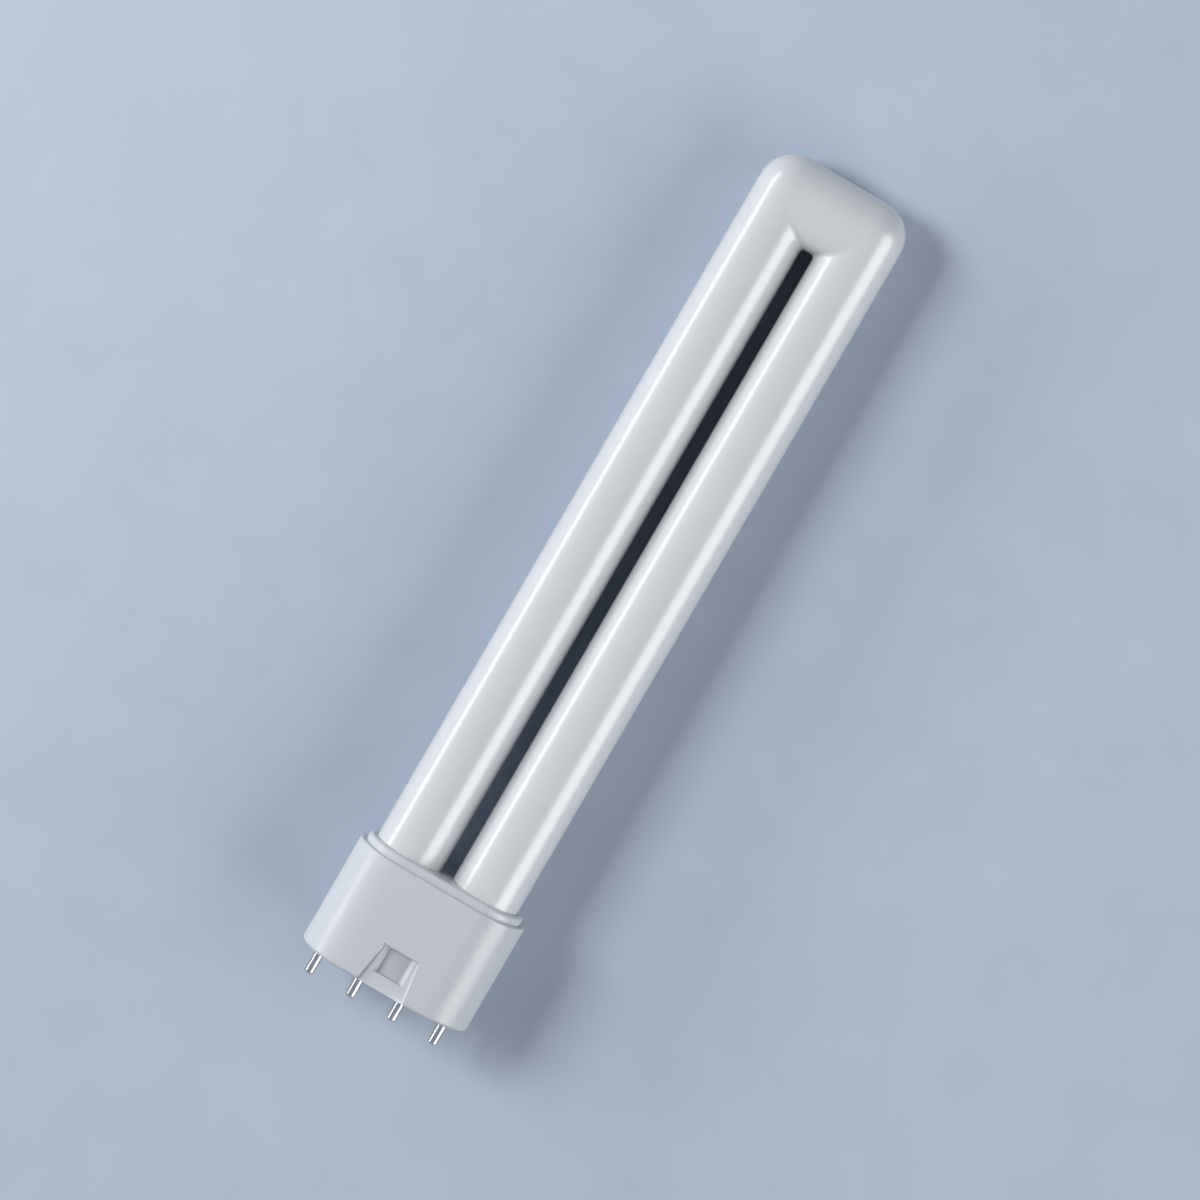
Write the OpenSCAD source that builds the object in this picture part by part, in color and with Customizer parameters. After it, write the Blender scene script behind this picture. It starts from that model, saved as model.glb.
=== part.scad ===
// Single-ended compact fluorescent lamp: two glass legs joined by a square bend, in a four-pin cap.
// The lamp lies on its wide face. +X runs from the cap to the tip, the pins stand in a line along Y,
// and +Z points away from the table. The origin is the centre of the cap's end face.

/* [Glass tube] */
// Outer diameter of the glass
tube_d = 17; // [14:0.5:18]
// Width of the slot between the two legs
leg_gap = 3.2; // [2.6:0.1:6]
// Length of the lamp from the cap's end face to the tip
lamp_length = 217; // [150:1:540]
// How much taller the bend is than the glass is thick
bend_rise = 2; // [0.5:0.5:6]
// Height of the sealed ends above the cap's end face
seal_height = 12.5; // [11:0.5:15]
// Rounding of the sealed ends
seal_round = 2.5; // [1:0.5:4]
// Diameter of the tipped-off exhaust tube
exhaust_d = 3.4; // [2:0.2:5]
// Length of the exhaust tube below the seal
exhaust_len = 3; // [2:0.5:4]

/* [Cap shell] */
// Height of the shell
shell_height = 28; // [24:0.5:36]
// Distance from the glass to the shell's outer face
cap_margin = 3.2; // [2.6:0.1:4]
// Wall round the tube holder
shell_wall = 1.3; // [1:0.1:1.8]
// Thickness of the end wall that holds the pins
floor_t = 2.4; // [2:0.2:4]
// Rounding of the edge round the end wall
end_round = 0.9; // [0.3:0.1:1.5]
// Rounding of the rim
rim_round = 0.5; // [0.2:0.1:0.8]
// Width of the inner ledge that carries the tube holder
ledge_w = 1.2; // [0.8:0.1:1.6]
// Height of the ledge above the end face
ledge_height = 14; // [13:0.5:18]

/* [Key recess] */
// Width of the tapered lead-in at the end face
lead_in_w = 12.3; // [11:0.1:14]
// Width of the lead-in at its closed end
lead_in_top_w = 9.3; // [9:0.1:10]
// Length of the lead-in
lead_in_len = 10.6; // [9:0.1:11.4]
// Depth of the lead-in
lead_in_depth = 0.7; // [0.3:0.1:0.9]
// Width of the latch pocket at its mouth
pocket_mouth_w = 8.6; // [7:0.1:9]
// Width of the latch pocket at its bottom
pocket_w = 6; // [4:0.1:7]
// Height of the pocket's lower edge above the end face
pocket_start = 3.6; // [2.5:0.1:5]
// Length of the pocket
pocket_len = 6.7; // [5:0.1:7]
// Depth of the pocket under the shell's face
pocket_depth = 2.4; // [1.2:0.1:2.6]
// Wall left behind the pocket
pocket_back = 1.2; // [0.8:0.1:1.6]

/* [Tube holder] */
// Height of the collar that shows above the shell
collar_height = 2; // [1.5:0.1:5]
// Rounding of the collar's upper edge
collar_round = 1; // [0.3:0.1:1.4]
// Depth of the close-fitting mouth of each socket
socket_mouth = 5; // [3:0.5:8]
// Radial thickness of the cement round each leg
cement_t = 0.7; // [0.4:0.1:0.9]
// Length of the cement ring
cement_len = 8; // [4:0.5:10]
// Width of each snap lug
lug_w = 5; // [3:0.5:7]
// How far each lug stands out
lug_out = 0.5; // [0.3:0.1:0.7]
// Height of each lug
lug_len = 2; // [1.5:0.1:3]
// Height of the lugs above the ledge
lug_lift = 2.5; // [2:0.1:4]
// Distance of the lugs from the middle of the wide face
lug_x = 7; // [5:0.5:9]

/* [Contact pins] */
// Distance from pin to pin
pin_pitch = 11; // [9:0.1:12]
// Outer diameter of a pin
pin_d = 2.35; // [2.2:0.05:2.6]
// Length of a pin below the end face
pin_len = 6.6; // [5.5:0.1:7.5]
// Wall of the hollow pin
pin_wall = 0.4; // [0.3:0.05:0.5]
// Rounding of the pin's tip
pin_round = 0.55; // [0.3:0.05:0.8]
// Diameter of the thicker shank that is pressed through the end wall
shank_d = 2.7; // [2.6:0.05:3]
// Diameter of the flange that seats the pin
flange_d = 3.8; // [3.4:0.1:4.6]
// Thickness of the flange
flange_t = 0.6; // [0.4:0.1:1]
// Length of the crimp collar above the flange
crimp_len = 1.2; // [0.8:0.1:2]
// Height of the pin seats above the end wall
seat_height = 2.2; // [1:0.2:3]
// Wall of the pin seats
seat_wall = 1.5; // [0.9:0.1:2]

/* [Lead wires] */
// Diameter of a lead wire
wire_d = 0.6; // [0.4:0.1:0.8]
// Distance of a wire from the axis of its leg, at the seal
wire_out = 3.4; // [2.8:0.1:4.5]
// Straight length of wire under the seal
wire_drop = 1.2; // [0.5:0.1:2]

/* [Fits] */
// Gap between the tube holder and the shell
holder_gap = 0.1; // [0.05:0.05:0.3]
// Gap between the glass and its socket
socket_gap = 0.15; // [0.05:0.05:0.3]
// Gap round a pin's shank in the end wall
pin_gap = 0.03; // [0.01:0.01:0.1]
// Gap round the flange of a pin
flange_gap = 0.3; // [0.1:0.1:0.5]
// Gap round each snap lug
lug_gap = 0.15; // [0.05:0.05:0.3]

/* [Hidden] */
$fn = 96;

tube_r = tube_d / 2;
leg_pitch = tube_d + leg_gap;
leg_x = leg_pitch / 2;
bend_top = lamp_length - tube_r;
bend_low = bend_top - bend_rise;
slot_end = bend_low - tube_r;
straight_foot = seal_height + seal_round;

shell_r = tube_r + cap_margin;
holder_r = shell_r - shell_wall - holder_gap;
ledge_r = shell_r - shell_wall - ledge_w;
holder_top = shell_height + collar_height;
cement_top = holder_top - socket_mouth;
lug_z = ledge_height + lug_lift;
pocket_pad = pocket_depth + pocket_back;
overcut = 1;

pin_r = pin_d / 2;
shank_r = shank_d / 2;
flange_r = flange_d / 2;
pin_seat = floor_t + seat_height;
pin_x = [for (i = [-1.5 : 1.5]) i * pin_pitch];
crimp_top = pin_seat + flange_t + crimp_len;
wire_r = wire_d / 2;
wire_bend = seal_height - wire_drop;
wire_sides = 12;
wire_steps = 12;

glass_white = [0.93, 0.94, 0.95];
cap_white = [0.9, 0.91, 0.92];
cement_grey = [0.78, 0.77, 0.74];
nickel = [0.72, 0.71, 0.68];
copper = [0.75, 0.5, 0.35];

// Everything is drawn standing on its pins, with the pin line along X, and then laid on its back.
module lay_down() {
    rotate(120, [1, 1, 1]) children();
}

// Sweeps a half section round the oblong outline that runs at one distance from both leg centres.
// In the section, x is the distance from the line between the leg centres and y is the height.
module round_the_legs() {
    for (side = [-1, 1])
        translate([side * leg_x, 0, 0])
            rotate(side * -90)
                rotate_extrude(angle = 180) children();
    rotate([90, 0, 90])
        linear_extrude(leg_pitch, center = true) {
            children();
            mirror([1, 0]) children();
        }
}

// A half section from the axis to radius r, with its outer corners rounded at the foot and the top.
module half_section(r, foot, top, foot_round, top_round) {
    translate([0, foot]) square([r - foot_round, foot_round]);
    translate([0, foot + foot_round]) square([r, top - foot - foot_round - top_round]);
    translate([0, top - top_round]) square([r - top_round, top_round]);
    translate([r - foot_round, foot + foot_round]) circle(foot_round);
    translate([r - top_round, top - top_round]) circle(top_round);
}

// A sharp-cornered half section from the axis to radius r.
module plain_section(r, foot, top) {
    translate([0, foot]) square([r, top - foot]);
}

// Places a copy at each leg.
module at_legs() {
    for (side = [-1, 1]) translate([side * leg_x, 0, 0]) children();
}

// The half disc that the outer face of a leg and the top of the bend share.
module half_disc() {
    intersection() {
        circle(tube_r);
        translate([0, -tube_r]) square([tube_r, tube_d]);
    }
}

// Lower end of one leg: a rounded shoulder, a flat seal and the tipped-off exhaust tube.
module sealed_end() {
    rotate_extrude() {
        translate([0, seal_height]) square([tube_r - seal_round, seal_round]);
        intersection() {
            translate([tube_r - seal_round, straight_foot]) circle(seal_round);
            plain_section(tube_r, seal_height, straight_foot);
        }
    }
    exhaust_foot = seal_height - exhaust_len;
    translate([0, 0, exhaust_foot]) cylinder(d = exhaust_d, h = exhaust_len);
    translate([0, 0, exhaust_foot])
        rotate([180, 0, 0])
            rotate_extrude()
                intersection() {
                    circle(d = exhaust_d);
                    square(exhaust_d);
                }
}

// The bend. Each outer corner is a quarter ball, and each inner corner is the mitre that forms
// where the round of the leg meets the round of the bend.
module square_bend() {
    for (side = [0, 1])
        mirror([side, 0, 0])
            translate([leg_x, 0, 0]) {
                translate([0, 0, slot_end]) linear_extrude(bend_top - slot_end) half_disc();
                translate([0, 0, bend_top]) rotate([90, 0, 0]) rotate_extrude(angle = 90) half_disc();
                translate([0, 0, slot_end]) linear_extrude(tube_r) mirror([1, 0]) half_disc();
            }
    translate([0, 0, bend_top]) rotate([0, -90, 0]) linear_extrude(leg_pitch, center = true) half_disc();
    translate([0, 0, bend_low + bend_rise / 2]) cube([leg_pitch, tube_d, bend_rise], center = true);
    translate([0, 0, bend_low]) rotate([0, 90, 0]) linear_extrude(leg_pitch, center = true) half_disc();
}

module glass_tube() {
    color(glass_white) lay_down() {
        at_legs() sealed_end();
        at_legs() translate([0, 0, straight_foot]) cylinder(r = tube_r, h = slot_end - straight_foot);
        square_bend();
    }
}

// Section of a snap lug, from the holder's side outwards: a ramp below and a square catch above.
module lug_section(grow) {
    polygon([
        [-lug_out, -grow],
        [0, -grow],
        [lug_out + grow, lug_len - lug_out],
        [lug_out + grow, lug_len + grow],
        [-lug_out, lug_len + grow]
    ]);
}

// Four snap lugs, two on each wide side of the holder.
module snap_lugs(grow) {
    for (face = [0, 1])
        mirror([0, face, 0])
            for (side = [-1, 1])
                translate([side * lug_x, holder_r, lug_z])
                    rotate([90, 0, 90])
                        linear_extrude(lug_w + 2 * grow, center = true) lug_section(grow);
}

module tube_holder() {
    color(cap_white) lay_down()
        difference() {
            union() {
                round_the_legs() half_section(holder_r, ledge_height, holder_top, rim_round, collar_round);
                snap_lugs(0);
            }
            at_legs() cylinder(r = tube_r + socket_gap, h = holder_top + overcut);
            at_legs() cylinder(r = tube_r + cement_t, h = cement_top);
        }
}

module cement_ring(side) {
    color(cement_grey) lay_down()
        translate([side * leg_x, 0, cement_top - cement_len])
            difference() {
                cylinder(r = tube_r + cement_t, h = cement_len);
                translate([0, 0, -overcut]) cylinder(r = tube_r, h = cement_len + 2 * overcut);
            }
}

// Tapered lead-in and latch pocket, cut into one wide face.
module key_recess() {
    translate([0, -shell_r + lead_in_depth, 0])
        rotate([90, 0, 0])
            linear_extrude(shell_r)
                polygon([
                    [-lead_in_w / 2, 0],
                    [lead_in_w / 2, 0],
                    [lead_in_top_w / 2, lead_in_len],
                    [-lead_in_top_w / 2, lead_in_len]
                ]);
    translate([0, -shell_r, pocket_start])
        linear_extrude(pocket_len)
            polygon([
                [-pocket_mouth_w / 2, 0],
                [pocket_mouth_w / 2, 0],
                [pocket_w / 2, pocket_depth],
                [-pocket_w / 2, pocket_depth]
            ]);
}

// Thickening of the wall behind the latch pocket.
module pocket_backing() {
    backing_w = pocket_mouth_w + 2 * pocket_back;
    translate([-backing_w / 2, -shell_r + shell_wall, floor_t / 2])
        cube([backing_w, pocket_pad - shell_wall, pocket_start + pocket_len + pocket_back - floor_t / 2]);
}

module pin_seats() {
    for (x = pin_x)
        translate([x, 0, floor_t / 2]) cylinder(r = shank_r + seat_wall, h = pin_seat - floor_t / 2);
}

module cap_shell() {
    color(cap_white) lay_down()
        difference() {
            union() {
                difference() {
                    round_the_legs() half_section(shell_r, 0, shell_height, end_round, rim_round);
                    round_the_legs() plain_section(ledge_r, floor_t, ledge_height + overcut);
                    round_the_legs() plain_section(shell_r - shell_wall, ledge_height, shell_height + overcut);
                }
                for (face = [0, 1]) mirror([0, face, 0]) pocket_backing();
                pin_seats();
            }
            for (face = [0, 1]) mirror([0, face, 0]) key_recess();
            for (x = pin_x) {
                translate([x, 0, -overcut]) cylinder(r = shank_r + pin_gap, h = pin_seat + 2 * overcut);
                translate([x, 0, pin_seat]) cylinder(r = flange_r + flange_gap, h = ledge_height - pin_seat);
            }
            snap_lugs(lug_gap);
        }
}

// One hollow pin: a rounded tip, a thicker shank through the end wall, a flange that seats on the
// pin seat and a crimp collar. The wire passes through a small hole in the tip.
module contact_pin(i) {
    color(nickel) lay_down()
        translate([pin_x[i], 0, 0])
            rotate_extrude()
                difference() {
                    union() {
                        translate([0, -pin_len]) square([pin_r - pin_round, pin_round]);
                        translate([pin_r - pin_round, -pin_len + pin_round]) circle(pin_round);
                        plain_section(pin_r, -pin_len + pin_round, crimp_top);
                        plain_section(shank_r, 0, pin_seat);
                        plain_section(flange_r, pin_seat, pin_seat + flange_t);
                    }
                    plain_section(pin_r - pin_wall, -pin_len + pin_round, crimp_top + overcut);
                    plain_section(wire_r, -pin_len - overcut, 0);
                }
}

// One ring of points round a wire that heads from one route point to another, in the pin plane.
function wire_ring(at, from, to) =
    let (run = to - from, across = [-run[1], run[0]] / norm(run))
    [for (k = [0 : wire_sides - 1])
        let (a = 360 * k / wire_sides)
        [at[0] + wire_r * cos(a) * across[0], wire_r * sin(a), at[1] + wire_r * cos(a) * across[1]]];

// Round wire along a route of [x, z] points.
module wire_along(route) {
    last = len(route) - 1;
    rings = [for (k = [0 : last]) each wire_ring(route[k], route[max(k - 1, 0)], route[min(k + 1, last)])];
    sides = [for (k = [0 : last - 1], j = [0 : wire_sides - 1])
        let (a = k * wire_sides + j, b = k * wire_sides + (j + 1) % wire_sides)
        [a, b, b + wire_sides, a + wire_sides]];
    first_end = [[for (j = [wire_sides - 1 : -1 : 0]) j]];
    last_end = [[for (j = [0 : wire_sides - 1]) last * wire_sides + j]];
    polyhedron(rings, concat(first_end, sides, last_end));
}

// A wire drops from its seal, leans over in an S to its pin, and ends in the pin's tip.
// The outer wire of each leg goes to an outer pin, and the inner wire to an inner pin.
module lead_wire(i) {
    side = pin_x[i] < 0 ? -1 : 1;
    outward = abs(pin_x[i]) > leg_x ? 1 : -1;
    seal_x = side * (leg_x + outward * wire_out);
    lean_end = crimp_top + wire_d;
    lean = [for (k = [0 : wire_steps])
        let (u = k / wire_steps, eased = (1 - cos(180 * u)) / 2)
        [seal_x + (pin_x[i] - seal_x) * eased, wire_bend + (lean_end - wire_bend) * u]];
    color(copper) lay_down() wire_along(concat([[seal_x, seal_height]], lean, [[pin_x[i], -pin_len]]));
}

glass_tube();
tube_holder();
cap_shell();
cement_ring(-1);  // cement_ring_left
cement_ring(1);  // cement_ring_right
contact_pin(0);  // contact_pin_1
contact_pin(1);  // contact_pin_2
contact_pin(2);  // contact_pin_3
contact_pin(3);  // contact_pin_4
lead_wire(0);  // lead_wire_1
lead_wire(1);  // lead_wire_2
lead_wire(2);  // lead_wire_3
lead_wire(3);  // lead_wire_4
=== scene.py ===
# %% [markdown]
# # A twin-tube fluorescent lamp
# The lamp is a glass tube folded once, with a white coating on its inside, in a moulded plastic cap with
# four pins. It lies on a pale table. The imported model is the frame: it gives every size and place, in
# metres, with X along the lamp, Y along the line of pins and Z up.

# %% Load the frame
from math import atan2, cos, pi, radians, sin

import bmesh
import bpy
from mathutils import Matrix, Vector


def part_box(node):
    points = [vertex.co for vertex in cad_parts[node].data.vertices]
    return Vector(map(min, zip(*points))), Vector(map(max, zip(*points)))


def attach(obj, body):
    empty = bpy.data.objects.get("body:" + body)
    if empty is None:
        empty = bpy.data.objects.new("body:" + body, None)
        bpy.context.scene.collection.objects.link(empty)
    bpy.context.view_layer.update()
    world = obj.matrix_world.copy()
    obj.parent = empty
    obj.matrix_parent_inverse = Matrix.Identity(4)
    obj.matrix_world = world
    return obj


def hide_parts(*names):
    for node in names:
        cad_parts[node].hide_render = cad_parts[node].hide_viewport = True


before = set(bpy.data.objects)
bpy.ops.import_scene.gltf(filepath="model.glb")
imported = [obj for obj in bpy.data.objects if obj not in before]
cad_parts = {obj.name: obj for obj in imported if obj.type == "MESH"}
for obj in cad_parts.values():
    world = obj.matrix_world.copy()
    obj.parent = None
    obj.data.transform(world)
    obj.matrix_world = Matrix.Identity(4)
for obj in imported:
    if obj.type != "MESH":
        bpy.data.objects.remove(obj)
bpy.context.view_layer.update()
MM = 0.001

# %% [markdown]
# ## The camera
# A product photograph of a long, flat thing is taken from far off with a long lens, so that its sides
# stay nearly parallel. A wide lens close by would make the near end look fat. The angles here come from
# matching the lamp's corners to the photograph. The lens leans a little towards the tip, and the frame
# is rolled, so the lamp lies on the diagonal.

# %% Camera
LENS_MM = 517.04
SENSOR_MM = 36
FAR_CLIP = 50
CAMERA_PLACE = (0.7602, -0.0067, 3.9232)

lamp_axis = Vector((1, 0, 0))
lean, swing, roll = radians(9.502), radians(-0.115), radians(30.1)
looking = Vector((-sin(lean) * cos(swing), -sin(swing), -cos(lean) * cos(swing)))
across = looking.cross(lamp_axis).normalized()
upward = across.cross(looking)
picture_right = cos(roll) * across + sin(roll) * upward
picture_up = cos(roll) * upward - sin(roll) * across

camera = bpy.data.objects.new("camera", bpy.data.cameras.new("camera"))
bpy.context.collection.objects.link(camera)
camera.data.sensor_width = SENSOR_MM
camera.data.lens = LENS_MM
camera.data.clip_end = FAR_CLIP
turn = Matrix((picture_right, picture_up, -looking)).transposed().to_4x4()
camera.matrix_world = Matrix.Translation(CAMERA_PLACE) @ turn
bpy.context.scene.camera = camera
print("camera", round(camera.location.length, 2), "m from the cap")

# %% [markdown]
# ## The table
# The cap is thicker than the glass, so a real lamp that lies down rests on the cap's rim and on the
# glass near the bend. The lamp keeps its place in the frame, so the table is what tips, by one degree,
# until it touches both. Without that the tip would float over its own shadow. A round sheet is enough
# for a table, and it is wide, so that its edge stays out of the pictures from low angles.

# %% Table
cap_low, cap_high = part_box("cap_shell")
tube_low, tube_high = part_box("glass_tube")
TUBE_R = tube_high.z
BEND_TOP = tube_high.x - TUBE_R
RIM_ROUND = 0.5 * MM
rim_touch = Vector((cap_high.x - RIM_ROUND, 0, cap_low.z))
tube_touch = Vector((BEND_TOP, 0, tube_low.z))
tip_angle = atan2(tube_touch.z - rim_touch.z, tube_touch.x - rim_touch.x)


def link_mesh(name, bm):
    """Turns finished bmesh work into an object at the origin."""
    mesh = bpy.data.meshes.new(name)
    bm.to_mesh(mesh)
    bm.free()
    piece = bpy.data.objects.new(name, mesh)
    bpy.context.collection.objects.link(piece)
    return piece


TABLE_REACH = 0.7
TABLE_SIDES = 96
bm = bmesh.new()
bmesh.ops.create_circle(bm, cap_ends=True, segments=TABLE_SIDES, radius=TABLE_REACH)
bmesh.ops.rotate(bm, verts=bm.verts, matrix=Matrix.Rotation(-tip_angle, 3, "Y"))
bmesh.ops.translate(bm, verts=bm.verts, vec=(rim_touch + tube_touch) / 2)
table = link_mesh("table", bm)
print("table tips by", round(tip_angle * 180 / pi, 3), "degrees")

# %% [markdown]
# ## The glass tube
# The real tube is bent hot and blown into a mould, which gives it a square top: ball-shaped outer
# corners, and a soft crease inside each corner where the round of the leg meets the round of the bend.
# A swept circle would pinch there. So the tube is drawn as the glass flows: one line for each direction
# round the leg, from the sealed end up the leg, round the corner and on to the middle of the bend.
# Lines on the outside of the corner turn on a wide arc, and lines on the inside on a tight one.

# %% Sizes of the glass
LEG_Y = tube_high.y - TUBE_R
SLOT_HALF = LEG_Y - TUBE_R
BEND_RISE = 2 * MM
BEND_LOW = BEND_TOP - BEND_RISE
INNER_TURN = 1.0 * MM
STEM_R, STEM_LEN = 1.7 * MM, 3 * MM
SEAL_X = tube_low.x + STEM_R + STEM_LEN
SEAL_ROUND = 2.5 * MM
CORNER_FOOT = BEND_LOW - TUBE_R - 2 * INNER_TURN
LINES = 72
LEG_STEPS, RISE_STEPS, RIM_STEPS, CORNER_STEPS, TOP_STEPS = 30, 3, 2, 14, 4
WELD = 0.01 * MM
GLASS_CREASE = radians(50)
print("glass", round(2 * TUBE_R / MM, 1), "mm thick, slot", round(2 * SLOT_HALF / MM, 1), "mm wide")


# %% [markdown]
# A line is a chain of short edges. Two helpers draw it: one goes straight on by extruding the last
# point, and one turns a quarter round a centre with spin, which keeps the corner a true arc.

# %% Straight on, and round a corner
def draw_on(bm, vert, place, steps=1):
    """Draws a straight run of short edges from vert to place."""
    start = vert.co.copy()
    for step in range(steps):
        vert = bmesh.ops.extrude_vert_indiv(bm, verts=[vert])["verts"][0]
        vert.co = start.lerp(place, (step + 1) / steps)
    return vert


def turn_inwards(bm, vert, centre, steps):
    """Turns a line a quarter round centre, from along the leg to across the bend."""
    made = bmesh.ops.spin(
        bm, geom=[vert], cent=centre, axis=(0, 0, 1), angle=-pi / 2, steps=steps, use_duplicate=False)
    return next(part for part in made["geom_last"] if isinstance(part, bmesh.types.BMVert))


# %% [markdown]
# Each leg ends in a flat seal with a rounded shoulder. A short glass stem sticks out of it, where the
# tube was pumped empty and melted shut. The cap hides all of this, but a closed tube needs an end, and
# the lines start on the leg's axis, at the tip of the stem.

# %% One line of glass
# In each pair, a height above the tip of the stem, and a distance from the leg's axis. The first pair
# rounds the tip.
STEM_END = [
    (0.5 * MM, 1.2 * MM), (STEM_R, STEM_R), (STEM_R + STEM_LEN, STEM_R),
    (STEM_R + STEM_LEN, TUBE_R - SEAL_ROUND)]
# In each pair, a height above the seal, and a distance from where the shoulder starts.
SHOULDER = [(SEAL_ROUND * (1 - cos(a)), SEAL_ROUND * sin(a)) for a in (pi / 8, pi / 4, 3 * pi / 8, pi / 2)]


def glass_line(bm, direction, inside):
    """Draws the line that leaves the leg's axis in one direction, and returns its edges."""
    def at(x, r):
        return Vector((x, LEG_Y + r * cos(direction), r * sin(direction)))

    vert = bmesh.ops.create_vert(bm, co=at(tube_low.x, 0))["vert"][0]
    for height, r in STEM_END:
        vert = draw_on(bm, vert, at(tube_low.x + height, r))
    for height, r in SHOULDER:
        vert = draw_on(bm, vert, at(SEAL_X + height, TUBE_R - SEAL_ROUND + r))
    vert = draw_on(bm, vert, at(CORNER_FOOT, TUBE_R), LEG_STEPS)
    out = TUBE_R * cos(direction)
    if inside:
        corner_x, corner_y = BEND_LOW + out - INNER_TURN, LEG_Y + out - INNER_TURN
        vert = draw_on(bm, vert, at(corner_x, TUBE_R), RISE_STEPS)
        vert = turn_inwards(bm, vert, (corner_x, corner_y, vert.co.z), CORNER_STEPS)
    else:
        vert = draw_on(bm, vert, at(BEND_LOW - INNER_TURN, TUBE_R), RISE_STEPS)
        vert = draw_on(bm, vert, at(BEND_TOP, TUBE_R), RIM_STEPS)
        vert = turn_inwards(bm, vert, (BEND_TOP, LEG_Y, vert.co.z), CORNER_STEPS - RIM_STEPS)
    draw_on(bm, vert, Vector((vert.co.x, 0, vert.co.z)), TOP_STEPS)
    drawn = [edge for edge in bm.edges if not edge.tag]
    for edge in drawn:
        edge.tag = True
    return drawn


# %% [markdown]
# The skin comes from bridge_loops, which fills the strip between two neighbouring lines. Neighbouring
# strips share a line, but every line has its own point at the tip of the stem, and where the outside
# lines meet the inside ones two lines lie together. Merging doubles closes those places. A mirror makes
# the other leg. Both can leave faces inside out, so the normals are worked out again at the end.

# %% Skin between the lines
bm = bmesh.new()
half = LINES // 2
outer = [glass_line(bm, pi * (k / half - 0.5), inside=False) for k in range(half + 1)]
inner = [glass_line(bm, pi * (k / half + 0.5), inside=True) for k in range(half + 1)]
lines = outer + inner
for line, neighbour in zip(lines, lines[1:] + lines[:1]):
    bmesh.ops.bridge_loops(bm, edges=line + neighbour)
bmesh.ops.remove_doubles(bm, verts=bm.verts, dist=WELD)
bmesh.ops.mirror(bm, geom=bm.verts[:] + bm.edges[:] + bm.faces[:], axis="Y", merge_dist=WELD)
bmesh.ops.recalc_face_normals(bm, faces=bm.faces)
print("open edges in the glass:", sum(not edge.is_manifold for edge in bm.edges))
print("glass faces:", len(bm.faces))
glass = link_mesh("coated_glass_tube", bm)
glass.data.shade_smooth()
glass.data.set_sharp_from_angle(angle=GLASS_CREASE)
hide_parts("glass_tube")
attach(glass, "root")

# %% [markdown]
# ## The key recess
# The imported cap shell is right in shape, but the corners of its key recess are knife sharp, and no mould
# makes an edge like that. A sharp edge catches no light, so it looks drawn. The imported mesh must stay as
# it is, so a copy is merged and its flat neighbours are joined into one face. The recess's own edges are
# then found by their place and angle, and a Bevel modifier rounds those alone.

# %% Recess edges
EDGE_BREAK = 0.15 * MM
RECESS_HALF_WIDTH, RECESS_FOOT, RECESS_TOP, RECESS_DEEP = 6.3 * MM, 0.2 * MM, 11 * MM, 3.5 * MM
SHARP_CORNER, FLAT_CORNER, SHELL_CREASE = radians(25), radians(1), radians(30)
SHELL_WELD = 0.002 * MM

bm = bmesh.new()
bm.from_mesh(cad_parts["cap_shell"].data)
bmesh.ops.remove_doubles(bm, verts=bm.verts, dist=SHELL_WELD)
bmesh.ops.dissolve_limit(bm, angle_limit=FLAT_CORNER, verts=bm.verts, edges=bm.edges)
weight = bm.edges.layers.float.new("bevel_weight_edge")


def in_recess(vert):
    """True where a corner of the shell belongs to one of the two key recesses."""
    return (abs(vert.co.y) < RECESS_HALF_WIDTH and abs(vert.co.z) > cap_high.z - RECESS_DEEP
            and RECESS_FOOT < vert.co.x < RECESS_TOP)


recess_edges = [edge for edge in bm.edges
                if edge.calc_face_angle(0) > SHARP_CORNER and all(in_recess(vert) for vert in edge.verts)]
for edge in recess_edges:
    edge[weight] = 1.0
print("recess edges:", len(recess_edges))
print("open edges in the shell:", sum(not edge.is_manifold for edge in bm.edges))

# %% [markdown]
# The modifier rounds the edges that carry a bevel weight, in two segments. Harden normals keeps the
# large flat faces shaded flat, so that the light changes only over the rounded strip.

# %% Cap shell with a softened recess
shell = link_mesh("cap_shell_moulding", bm)
shell.data.shade_smooth()
shell.data.set_sharp_from_angle(angle=SHELL_CREASE)
bevel = shell.modifiers.new("broken_edges", "BEVEL")
bevel.width, bevel.segments, bevel.limit_method = EDGE_BREAK, 2, "WEIGHT"
bevel.use_clamp_overlap = False
bevel.harden_normals = True
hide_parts("cap_shell")
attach(shell, "root")

# %% [markdown]
# ## Finishes
# Every finish here is a Principled shader. What is the same all over the surface is typed on the
# shader's own sockets, and what changes from place to place comes from noise read in Object coordinates,
# so the pattern stays on the lamp when the camera moves. A few helpers keep each finish short.

# %% Helpers for finishes
# Noise hardly ever leaves this range, though in name it runs from 0 to 1.
NOISE_LOW, NOISE_HIGH = 0.3, 0.7


def new_finish(name, **sockets):
    """A material with one Principled shader, whose sockets are set by name."""
    finish = bpy.data.materials.new(name)
    finish.use_nodes = True
    shader = finish.node_tree.nodes["Principled BSDF"]
    for socket, value in sockets.items():
        shader.inputs[socket.replace("_", " ")].default_value = value
    return finish, finish.node_tree, shader


def noise_at(tree, scale, detail=3.0, stretch=(1, 1, 1)):
    """Noise in Object coordinates. A stretch under 1 draws it out along that axis."""
    where = tree.nodes.new("ShaderNodeTexCoord")
    mapping = tree.nodes.new("ShaderNodeMapping")
    noise = tree.nodes.new("ShaderNodeTexNoise")
    mapping.inputs["Scale"].default_value = stretch
    noise.inputs["Scale"].default_value = scale
    noise.inputs["Detail"].default_value = detail
    tree.links.new(where.outputs["Object"], mapping.inputs["Vector"])
    tree.links.new(mapping.outputs["Vector"], noise.inputs["Vector"])
    return noise.outputs["Fac"]


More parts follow.
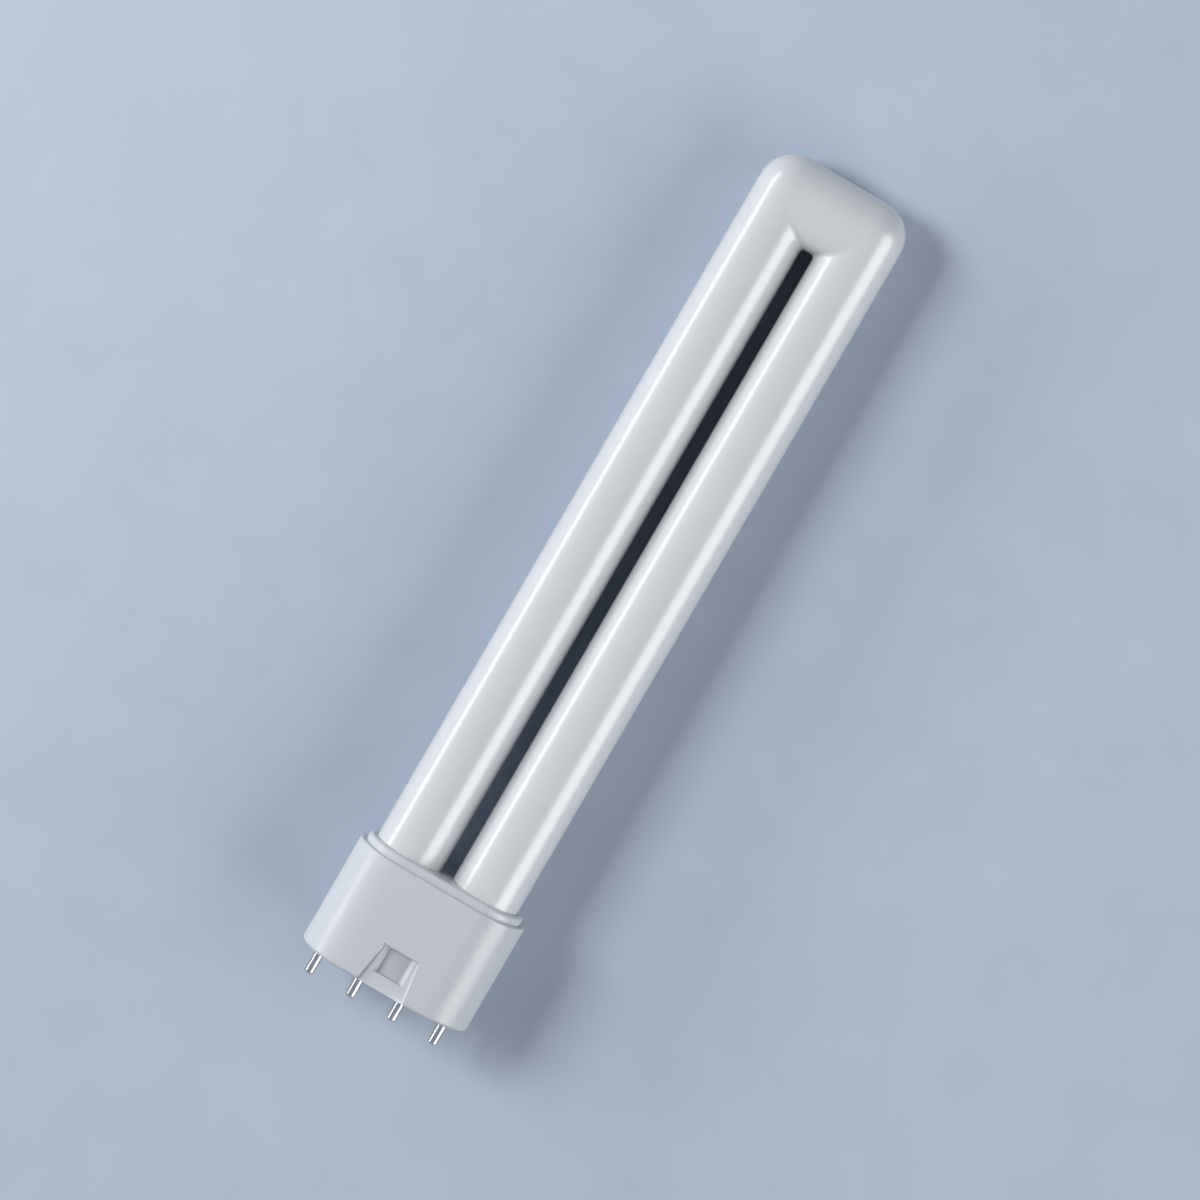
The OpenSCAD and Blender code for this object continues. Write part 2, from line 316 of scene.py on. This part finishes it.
def tint(tree, factor, low, high):
    """Maps noise from its usual range onto the colours from low to high."""
    node = tree.nodes.new("ShaderNodeValToRGB")
    stops = ((NOISE_LOW, low), (NOISE_HIGH, high))
    for point, (position, colour) in zip(node.color_ramp.elements, stops):
        point.position, point.color = position, (*colour, 1)
    tree.links.new(factor, node.inputs["Fac"])
    return node.outputs["Color"]


def spread(tree, factor, low, high):
    """Maps noise from its usual range onto low to high."""
    node = tree.nodes.new("ShaderNodeMapRange")
    limits = {"From Min": NOISE_LOW, "From Max": NOISE_HIGH, "To Min": low, "To Max": high}
    for socket, value in limits.items():
        node.inputs[socket].default_value = value
    tree.links.new(factor, node.inputs["Value"])
    return node.outputs["Result"]


def bumps(tree, shader, height, depth, strength):
    """Feeds a height to the shader's normal, depth metres deep."""
    node = tree.nodes.new("ShaderNodeBump")
    node.inputs["Strength"].default_value = strength
    node.inputs["Distance"].default_value = depth
    tree.links.new(height, node.inputs["Height"])
    tree.links.new(node.outputs["Normal"], shader.inputs["Normal"])


def wear(finish, *objects):
    """Gives objects this finish and no other."""
    for piece in objects:
        piece.data.materials.clear()
        piece.data.materials.append(finish)
    print(finish.name, "on", [piece.name for piece in objects])


# %% [markdown]
# ## White coating behind clear glass
# The white powder sits on the inside of the tube, so the lamp shows a dull white body under a clear,
# polished skin. Real glass over a second surface would do it too, but slowly. The Principled shader does
# it in one: a pale, rather rough base for the powder, and a coat for the glass. The powder is washed down
# the tube while wet, so it is a trace uneven along the leg, and drawn glass is never quite flat, so the
# highlights run a little wavy.

# %% Coated glass
finish, tree, shader = new_finish(
    "coated_glass", Roughness=0.4, IOR=1.5, Specular_IOR_Level=0.5,
    Coat_Weight=1.0, Coat_Roughness=0.2, Coat_IOR=1.5)
powder = tint(
    tree, noise_at(tree, 90, stretch=(0.25, 1, 1)), (0.575, 0.592, 0.615), (0.595, 0.612, 0.635))
tree.links.new(powder, shader.inputs["Base Color"])
bumps(tree, shader, noise_at(tree, 60, 1.0, (0.4, 1, 1)), 0.2 * MM, 0.3)
wear(finish, glass)

# %% [markdown]
# ## Moulded plastic
# The shell and the tube holder are moulded in white plastic. A mould polished with fine grit leaves a
# satin face: soft highlights over a grain too fine to see but wide enough to blur.

# %% Cap plastic
def moulded_plastic(name, low, high, roughness):
    """Satin white plastic with a fine grain."""
    finish, tree, shader = new_finish(name, IOR=1.5, Specular_IOR_Level=0.5)
    tree.links.new(tint(tree, noise_at(tree, 40), low, high), shader.inputs["Base Color"])
    tree.links.new(spread(tree, noise_at(tree, 120), *roughness), shader.inputs["Roughness"])
    bumps(tree, shader, noise_at(tree, 2500, 2.0), 0.01 * MM, 0.4)
    return finish


cap_finish = moulded_plastic("cap_plastic", (0.515, 0.54, 0.575), (0.53, 0.555, 0.59), (0.28, 0.36))
holder_finish = moulded_plastic("holder_plastic", (0.53, 0.555, 0.59), (0.545, 0.57, 0.605), (0.28, 0.36))
wear(cap_finish, shell)
wear(holder_finish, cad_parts["tube_holder"])

# %% [markdown]
# ## Nickel
# The pins are drawn brass tubes, plated with nickel. Drawing leaves fine marks along the pin, so the
# noise is stretched along X, and it changes the colour, the gloss and the bumps together. A metal takes
# its look from what it reflects, so the tone here is a little darker than a nickel sample.

# %% Pins
finish, tree, shader = new_finish("nickel", Metallic=1.0)
plating = tint(tree, noise_at(tree, 900, 4.0, (0.15, 1, 1)), (0.46, 0.45, 0.42), (0.60, 0.585, 0.55))
tree.links.new(plating, shader.inputs["Base Color"])
tree.links.new(spread(tree, noise_at(tree, 1500, 3.0, (0.1, 1, 1)), 0.14, 0.28), shader.inputs["Roughness"])
bumps(tree, shader, noise_at(tree, 4000, 2.0, (0.05, 1, 1)), 0.01 * MM, 0.5)
wear(finish, *[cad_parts[f"contact_pin_{i}"] for i in (1, 2, 3, 4)])

# %% [markdown]
# ## Cement
# The cement that holds the glass is a baked paste full of grit. It has no gloss at all, and its grain is
# coarse enough to feel, so the noise has many octaves and the bumps are deep.

# %% Cement
finish, tree, shader = new_finish("cement", Roughness=0.95)
grit = tint(tree, noise_at(tree, 1800, 6.0), (0.42, 0.41, 0.38), (0.62, 0.61, 0.57))
tree.links.new(grit, shader.inputs["Base Color"])
bumps(tree, shader, noise_at(tree, 2500, 6.0), 0.1 * MM, 0.8)
wear(finish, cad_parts["cement_ring_left"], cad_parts["cement_ring_right"])

# %% [markdown]
# ## Copper
# The lead wires are bare copper. Heat from the sealing tarnishes it in patches, so the noise runs
# between a fresh and a darker copper.

# %% Wires
finish, tree, shader = new_finish("wire", Metallic=1.0, Roughness=0.32)
tarnish = tint(tree, noise_at(tree, 1200, 3.0), (0.62, 0.36, 0.22), (0.78, 0.50, 0.34))
tree.links.new(tarnish, shader.inputs["Base Color"])
wear(finish, *[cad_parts[f"lead_wire_{i}"] for i in (1, 2, 3, 4)])

# %% [markdown]
# ## The table's finish
# The table is a matt sheet of pale blue paper. A plain grey would leave the white lamp without an edge,
# and a strong colour would tint its underside. The noise is so weak that it only takes away the look of
# a computed flat.

# %% Table finish
finish, tree, shader = new_finish("table_top", Roughness=0.85)
paper = tint(tree, noise_at(tree, 60, 5.0), (0.42, 0.485, 0.59), (0.44, 0.505, 0.61))
tree.links.new(paper, shader.inputs["Base Color"])
wear(finish, table)

# %% [markdown]
# ## Surroundings
# A weak, even light from all sides keeps the shadows soft. The camera and the reflections shouldn't see
# that weak light as a dark room, so rays of those kinds get a pale backdrop instead. The view is set to
# Standard, which shows a colour as it is written and doesn't bend the bright tones.

# %% Surroundings
bpy.context.scene.view_settings.view_transform = "Standard"
world = bpy.data.worlds.new("surroundings")
bpy.context.scene.world = world
world.use_nodes = True
tree = world.node_tree
fill = tree.nodes["Background"]
fill.inputs["Color"].default_value = (0.93, 0.96, 1.0, 1)
fill.inputs["Strength"].default_value = 0.13
backdrop = tree.nodes.new("ShaderNodeBackground")
backdrop.inputs["Color"].default_value = (0.36, 0.43, 0.56, 1)
ray = tree.nodes.new("ShaderNodeLightPath").outputs
seen = ray["Is Camera Ray"]
for kind in ("Is Glossy Ray", "Is Transmission Ray"):
    either = tree.nodes.new("ShaderNodeMath")
    either.use_clamp = True
    tree.links.new(seen, either.inputs[0])
    tree.links.new(ray[kind], either.inputs[1])
    seen = either.outputs["Value"]
chooser = tree.nodes.new("ShaderNodeMixShader")
tree.links.new(seen, chooser.inputs["Fac"])
tree.links.new(fill.outputs["Background"], chooser.inputs[1])
tree.links.new(backdrop.outputs["Background"], chooser.inputs[2])
tree.links.new(chooser.outputs["Shader"], tree.nodes["World Output"].inputs["Surface"])
print("fill strength:", round(fill.inputs["Strength"].default_value, 2))

# %% [markdown]
# ## Studio light
# Polished glass shows each light as a line along the leg. In the photograph there is a narrow bright
# line on one flank and a broad soft one on the other, and nothing between. So two long soft boxes stand
# low at the sides, one narrow and one wide. The wide one would have to be too strong for its line, so a
# card in the same place adds shine and no light. The shadow needs a light from above, but its reflection
# would spoil the plain middle of the glass, so the key box adds light and no shine.

# %% Soft boxes
LAMP_MIDDLE = Vector((0.1036, 0, 0))


def soft_box(name, place, wide, long, power, shines=True, fills=True):
    """An area light that looks at the middle of the lamp, with its long side along the lamp."""
    data = bpy.data.lights.new(name, "AREA")
    data.shape, data.size, data.size_y, data.energy = "RECTANGLE", long, wide, power
    light = bpy.data.objects.new(name, data)
    away = Vector(place).normalized()
    lengthwise = (lamp_axis - away * away.dot(lamp_axis)).normalized()
    facing = Matrix((lengthwise, away.cross(lengthwise), away)).transposed().to_4x4()
    light.matrix_world = Matrix.Translation(LAMP_MIDDLE + Vector(place)) @ facing
    light.visible_camera = False
    light.visible_glossy = shines
    light.visible_diffuse = fills
    bpy.context.collection.objects.link(light)


BOX_LENGTH, KEY_SIDE = 1.6, 0.45
LEFT_SIDE, RIGHT_SIDE, ABOVE_LEFT = (0, 1.15, 0.36), (0, -1.10, 0.52), (0.1, 0.95, 0.85)
soft_box("narrow_box", LEFT_SIDE, 0.24, BOX_LENGTH, power=8.5)
soft_box("wide_box", RIGHT_SIDE, 0.7, BOX_LENGTH, power=12.5)
soft_box("wide_card", RIGHT_SIDE, 0.9, BOX_LENGTH, power=15, fills=False)
soft_box("key_box", ABOVE_LEFT, KEY_SIDE, KEY_SIDE, power=11.5, shines=False)
